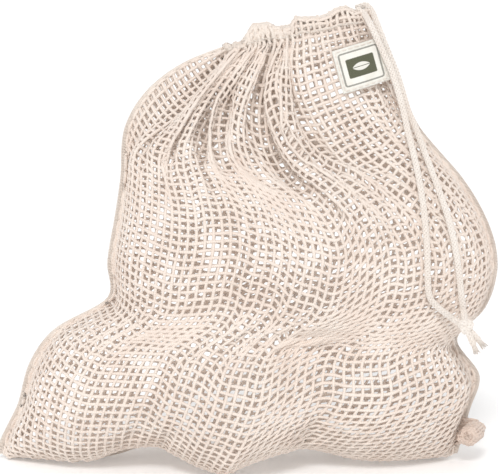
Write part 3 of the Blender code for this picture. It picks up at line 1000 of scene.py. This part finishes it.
def build_bottom_seam():
    line = BOTTOM_LINE.copy()
    line[:, 2] += np.interp(np.linspace(0, 1, len(line)), np.linspace(0, 1, COLUMNS), LIFT)
    shape = overlock(line, np.array((0.0, 1.0, 0.0)), SEAM_CORE * 1.6)
    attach(add_piece("bottom_overlock", shape, SEAM_LOOK, "bottom_seam"), "bag_body")


ROLL_TURNS = 1.7
ROLL_COLUMNS = 30
ROLL_START = math.pi  # the corner's net curls under, out and up
ROLL_SPREAD = 1.22  # the soft net stands out further than the frame's shell
ROLL_SHIFT = (-3.2 * MM, 0, -1.2 * MM)
ROLL_FLARE = 1.15  # how much wider than the roll its net is where it leaves the bag
ROLL_TIGHTENING = 0.5  # share of its radius that the coil loses towards its inner end
ROLL_ROWS = ((0.24, -0.02), (0.6, -0.07), (0.9, 0.04), (1, 0.25), (1, 0.5), (0.97, 0.75), (0.9, 1))
ROLL_WAVE = 0.6 * MM
ROLL_WAVES = 1.7  # per turn
ROLL_CREASE = 0.05
ROLL_CRUMPLE = 0.03
ROLL_NECK = (0.35, 0.7, 1)  # shares of the way from the roll back into the bag's corner


def build_rolled_corner():
    """The corner's net curled up into a bun, drawn together at its front, with an overlocked edge."""
    low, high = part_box("rolled_corner")
    centre = (low + high) / 2 + Vector(ROLL_SHIFT)
    outer = (high.z - low.z) / 2 * ROLL_SPREAD
    leaning = (high.x - low.x) - (high.z - low.z)
    share = np.linspace(0, 1, ROLL_COLUMNS)
    angle = 2 * np.pi * ROLL_TURNS * share + ROLL_START
    wave_out = ROLL_WAVE * np.sin(angle * ROLL_WAVES)
    rings = []
    for pinch, along in ROLL_ROWS:
        place = Vector((centre.x + leaning * (along - 0.5), low.y + (high.y - low.y) * along, centre.z))
        rings.append((place, outer * pinch))
    last, last_radius = rings[-1]
    corner = Vector((edge_x(RIGHT, centre.z) - outer / 2, -SEAM_RADIUS, centre.z - outer / 6))
    for part in ROLL_NECK:
        rings.append((last.lerp(corner, part), last_radius + (outer * ROLL_FLARE - last_radius) * part))
    rows = []
    for number, (place, ring) in enumerate(rings):
        crumple = ROLL_CRUMPLE * random.standard_normal(ROLL_COLUMNS)
        crease = 1 + ROLL_CREASE * np.sin(angle * 5 + number) + crumple
        radius = ring * (1 - ROLL_TIGHTENING * share) * crease
        x = place.x + np.cos(angle) * radius
        z = place.z + np.sin(angle) * radius
        rows.append(np.stack([x, place.y + wave_out, z], axis=1))
    grid = np.array(rows)
    rim = overlock(through(grid[:1], 6)[0], FORWARD, SEAM_CORE * 1.3)
    shape = joined([net_shape(grid, grid_normals(grid, BACK)), rim])
    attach(add_piece("rolled_corner_net", shape, SHADED_ROLL_COTTON, "rolled_corner"), "bag_body")


def knot_centre():
    low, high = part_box("cord_knot")
    return np.array((low + high) / 2)


def build_strand(side, word):
    """A hanging strand, from inside the hem's end to inside the knot, which is drawn up with the knot."""
    line = centre_line([f"{word}_cord_strand"], 2, STRAND_POINTS)
    anchor = HEM_LINES[side][-1]
    inside_knot = knot_centre() * 0.8 + line[0] * 0.2
    line = np.concatenate([[inside_knot], line, [anchor]])
    shape = braid(line, FORWARD, CORD_HALF_WIDTH, CORD_HALF_DEPTH)
    piece = add_piece(f"{word}_strand", shape, CORD_COTTON, f"{word}_cord_strand")
    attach(piece, "cord_loop")
    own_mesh(piece)


def build_knot():
    """A pulled-tight overhand knot."""
    low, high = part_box("cord_knot")
    t = np.linspace(0, 2 * np.pi, 97)
    path = (np.sin(t) + 2 * np.sin(2 * t), -0.75 * np.sin(3 * t), np.cos(t) - 2 * np.cos(2 * t))
    path = knot_centre() + np.stack(path, axis=1) / 3 * ((high.x - low.x) / 2 - CORD_HALF_DEPTH * 1.2)
    shape = braid(path, np.array((0.0, -1.0, 0.2)), CORD_HALF_DEPTH * 1.5, CORD_HALF_DEPTH * 1.25)
    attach(add_piece("tied_knot", shape, CORD_COTTON, "cord_knot"), "knot")


FRAYED = 0.68  # share of a tail after which it is loose fibres
TAIL_FIBRES = 46


def build_tail(side, word):
    """A short free end that frays into loose fibres."""
    low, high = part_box(f"{word}_cord_tail")
    centre = knot_centre()
    tip = np.array((high.x, (low.y + high.y) / 2, low.z))
    length = float(np.linalg.norm(tip - centre))
    heading = unit(tip - centre)
    across = unit(np.cross(heading, (0, 1, 0)))
    line = centre + np.outer(np.linspace(0.1, FRAYED, 8), heading * length)
    cord = braid(line, FORWARD, CORD_HALF_WIDTH, CORD_HALF_DEPTH)
    steps = np.linspace(0, 1, 9)
    fibres = []
    for _ in range(TAIL_FIBRES):
        angle = random.uniform(0, 2 * np.pi)
        spread = random.uniform(0.15, 1.0)
        reach = length * (1 - FRAYED) * random.uniform(0.65, 1.08)
        out = across * math.cos(angle) * 1.3 + np.array((0, 1, 0)) * math.sin(angle) * 0.8
        start = line[-1] - heading * MM + out * spread * CORD_HALF_DEPTH * 0.75
        path = start + np.outer(steps, heading * (reach + MM)) + np.outer(steps**1.6, out * spread * MM)
        wobble = across * random.uniform(-0.5, 0.5) * MM
        fibres.append(path + np.outer(np.sin(steps * 5 + angle) * steps, wobble))
    fibres = np.array(fibres)
    thickness = 0.3 * MM * (1 - 0.55 * steps)[None, :]
    loose = tubes(fibres, np.broadcast_to(FORWARD, fibres.shape), thickness, thickness, 5)
    piece = add_piece(f"{word}_frayed_end", joined([cord, loose]), CORD_COTTON, f"{word}_cord_tail")
    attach(piece, f"{word}_tail")


def label_sheet(inset, forward):
    """A grid over the label's front. It is turned, so each corner is its furthest point one way."""
    points, _ = node_arrays("label")
    left, right = points[points[:, 0].argmin()], points[points[:, 0].argmax()]
    bottom, top = points[points[:, 2].argmin()], points[points[:, 2].argmax()]
    tree = node_tree(["label"])
    centre = (bottom + top) / 2
    share = np.linspace(inset, 1 - inset, LABEL_STEPS + 1)
    grid = np.empty((LABEL_STEPS + 1, LABEL_STEPS + 1, 3))
    for row, v in enumerate(share):
        for column, u in enumerate(share):
            flat = (bottom * (1 - u) + right * u) * (1 - v) + (left * (1 - u) + top * u) * v
            sought = centre + LABEL_WITHIN * (flat - centre)
            hit = tree.ray_cast(Vector((sought[0], -FAR, sought[2])), Vector((0, 1, 0)))[0]
            ripple = LABEL_RIPPLE * math.sin(u * 7 + v * 3) * math.sin(v * 5)
            grid[row, column] = (flat[0], hit.y - forward + ripple, flat[2])
    return grid


LABEL_THICKNESS = 0.55 * MM
LABEL_TURNED = 0.06  # share of the label's side that is folded under


def build_label():
    """The sewn label: a woven square, thicker where its edge is turned under. Its print is its material."""
    steps = LABEL_STEPS + 1
    share = np.linspace(0, 1, steps)
    near = np.minimum(share, 1 - share)
    edge = np.minimum(near[:, None], near[None, :])
    outer = label_sheet(0.0, 0.1 * MM)
    outer[..., 1] += 0.25 * MM * smooth_step((edge - LABEL_TURNED) / 0.02)
    inner = outer + (0, LABEL_THICKNESS, 0)
    points = np.concatenate([outer.reshape(-1, 3), inner.reshape(-1, 3)])
    number = np.arange(steps * steps).reshape(steps, steps)
    loop = np.concatenate([number[0, :], number[1:, -1], number[-1, -2::-1], number[-2:0:-1, 0]])
    following = np.roll(loop, -1)
    rim = np.stack([following, loop, loop + steps * steps, following + steps * steps], axis=1)
    front = grid_quads(steps, steps, False)
    back = grid_quads(steps, steps, True) + steps * steps
    quads = np.concatenate([front, back, rim])
    u, v = np.meshgrid(share, share)
    flat = np.tile(np.stack([u.ravel(), v.ravel()], axis=1), (2, 1))
    sheet = {"points": points, "quads": quads, "uv": flat[quads]}
    piece = add_piece("woven_label", sheet, label_material(), "label")
    on_mouth(piece)


def build_label_stitching():
    sheet = label_sheet(LABEL_TURNED - 0.01, 0.2 * MM)
    forward = np.repeat([FORWARD], LABEL_STEPS + 1, axis=0)
    rows = [stitches(edge, forward) for edge in (sheet[0], sheet[:, -1], sheet[-1], sheet[:, 0])]
    piece = add_piece("label_stitches", joined(rows), STITCH_LOOK, "label_stitching")
    on_mouth(piece)


def build_bag():
    for side, word in SIDES:
        row, normals = build_net(side, word)
        build_hem_stitching(word, row, normals)
        build_hidden_cord(side, word, row)
        build_strand(side, word)
        build_tail(side, word)
    for end, word in ENDS:
        build_side_seam(end, word)
    build_bottom_seam()
    build_rolled_corner()
    build_knot()
    build_label()
    build_label_stitching()


# ---------------- stage

CAMERA_ELEVATION = math.radians(10)
CAMERA_DISTANCE = 1.25
CAMERA_LENS = 149.5
CAMERA_AIM = (2.1 * MM, 0, -2.1 * MM)  # from the middle of the bag
FLOOR_COLOUR = (0.95, 0.95, 0.95)
FLOOR_DIMMING = 0.985  # brightness of the floor's darker patches
FLOOR_GLOW = 0.14
SKY_STRENGTH = 0.76
BACKDROP_STRENGTH = 1.0  # the sky as the camera sees it
SUN_STRENGTH = 1.35
SUN_SOFTNESS = math.radians(14)
SUN_FROM = (-0.14, -1.0, 0.95)


def floor_material():
    nodes = Nodes("floor")
    place = nodes.place()
    darker = [part * FLOOR_DIMMING for part in FLOOR_COLOUR]
    shade = nodes.mix(nodes.noise(place, 60, 2.0), (*FLOOR_COLOUR, 1), (*darker, 1))
    nodes.look({"Base Color": shade, "Roughness": 0.8})
    nodes.look({"Emission Color": (1, 1, 1, 1), "Emission Strength": FLOOR_GLOW})
    return nodes.material


def stage():
    bpy.ops.mesh.primitive_plane_add(size=20, location=(0, 0, -0.3 * MM))
    floor = bpy.context.active_object
    floor.name = "floor"
    floor.data.materials.append(floor_material())
    world = bpy.data.worlds.new("studio")
    bpy.context.scene.world = world
    world.use_nodes = True
    tree = world.node_tree
    background = tree.nodes["Background"]
    background.inputs["Color"].default_value = (1, 1, 1, 1)
    seen = tree.nodes.new("ShaderNodeLightPath").outputs["Is Camera Ray"]
    strength = tree.nodes.new("ShaderNodeMapRange")
    strength.inputs["To Min"].default_value = SKY_STRENGTH
    strength.inputs["To Max"].default_value = BACKDROP_STRENGTH
    tree.links.new(seen, strength.inputs["Value"])
    tree.links.new(strength.outputs["Result"], background.inputs["Strength"])


def look_from(data, direction):
    """A light or camera that looks back along a direction."""
    made = bpy.data.objects.new(data.name, data)
    made.rotation_mode = "QUATERNION"
    made.rotation_quaternion = (-direction).to_track_quat("-Z", "Y")
    bpy.context.scene.collection.objects.link(made)
    return made


def sun():
    data = bpy.data.lights.new("sun", "SUN")
    data.energy = SUN_STRENGTH
    data.angle = SUN_SOFTNESS
    look_from(data, Vector(SUN_FROM))


def camera():
    middle = (cad_low + cad_high) / 2 + Vector(CAMERA_AIM)
    back = Vector((0, -math.cos(CAMERA_ELEVATION), math.sin(CAMERA_ELEVATION)))
    data = bpy.data.cameras.new("camera")
    data.lens = CAMERA_LENS
    made = look_from(data, back)
    made.location = middle + back * CAMERA_DISTANCE
    bpy.context.scene.camera = made


build_bag()
stage()
sun()
camera()
bpy.context.scene.view_settings.view_transform = "Standard"
